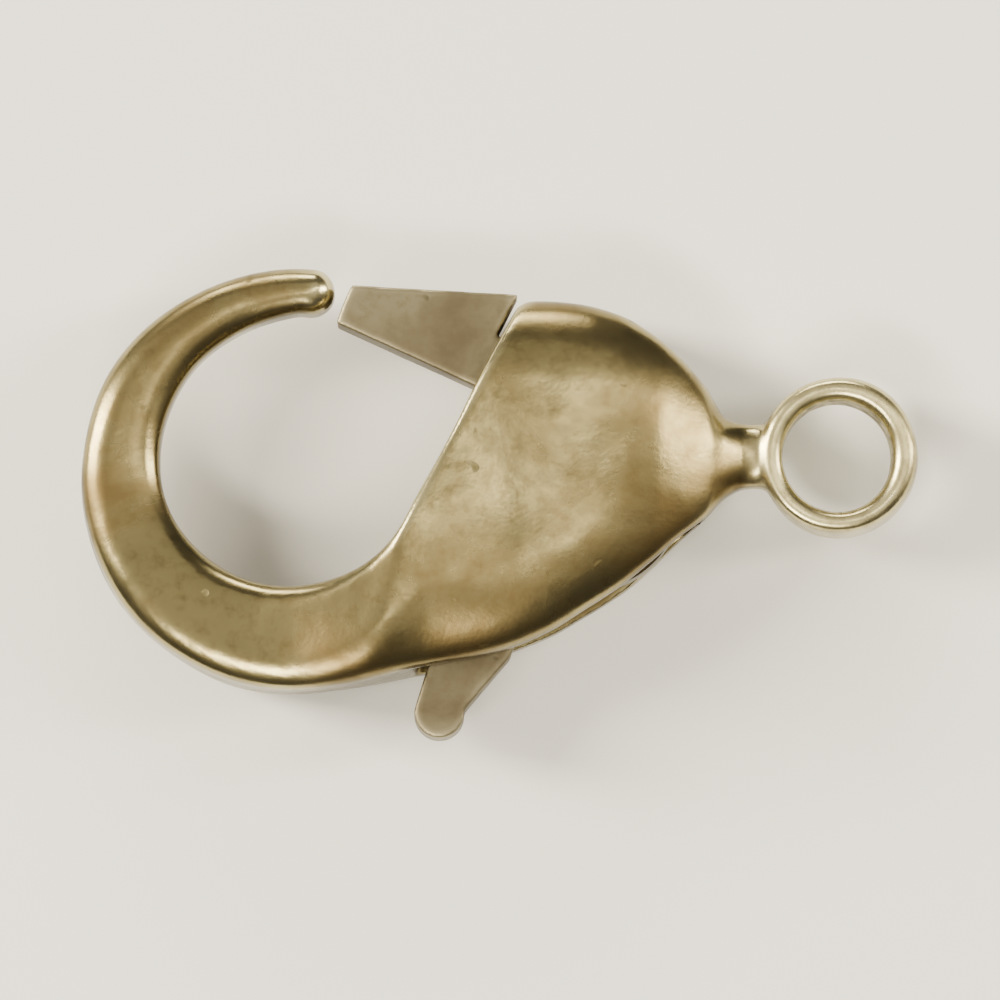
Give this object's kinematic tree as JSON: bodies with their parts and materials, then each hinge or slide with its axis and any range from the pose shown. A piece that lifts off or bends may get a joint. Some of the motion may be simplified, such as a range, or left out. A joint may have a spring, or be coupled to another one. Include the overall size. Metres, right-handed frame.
{
  "type": "lobster clasp",
  "caption": "Lobster claw clasp lying flat, with a fixed eye, a curved hook and a sprung lever whose gate closes the hook when the thumb tab is let go.",
  "frame": {"origin": "centre of the eye's bore, half way through its length", "axes": "+X from the hook to the eye along the clasp's length, +Y towards the gate, +Z along the eye's bore, out of the upper face"},
  "size_m": [0.012, 0.0067, 0.0026],
  "materials": {
    "cast_body": "antique bronze plate, tumbled to a satin, dark in the recesses",
    "cast_lever": "antique bronze plate, matt and greyer than the body",
    "rivet": "antique bronze plate, ground flush",
    "leaf": "rolled strip, bronzed with the rest"
  },
  "bodies": {
    "clasp": {"body": "cast_body", "rivet": "rivet", "spring": "leaf"},
    "lever": {"lever": "cast_lever"}
  },
  "joints": [
    {"name": "lever_pivot", "type": "hinge", "parent": "clasp", "child": "lever", "pos_m": [-0.00385, 0.0009, 0], "axis": [0, 0, 1], "range_deg": [0, 26], "stiffness_Nm_per_rad": 0.004, "springref_deg": -11.46, "deforming": ["spring"]}
  ]
}
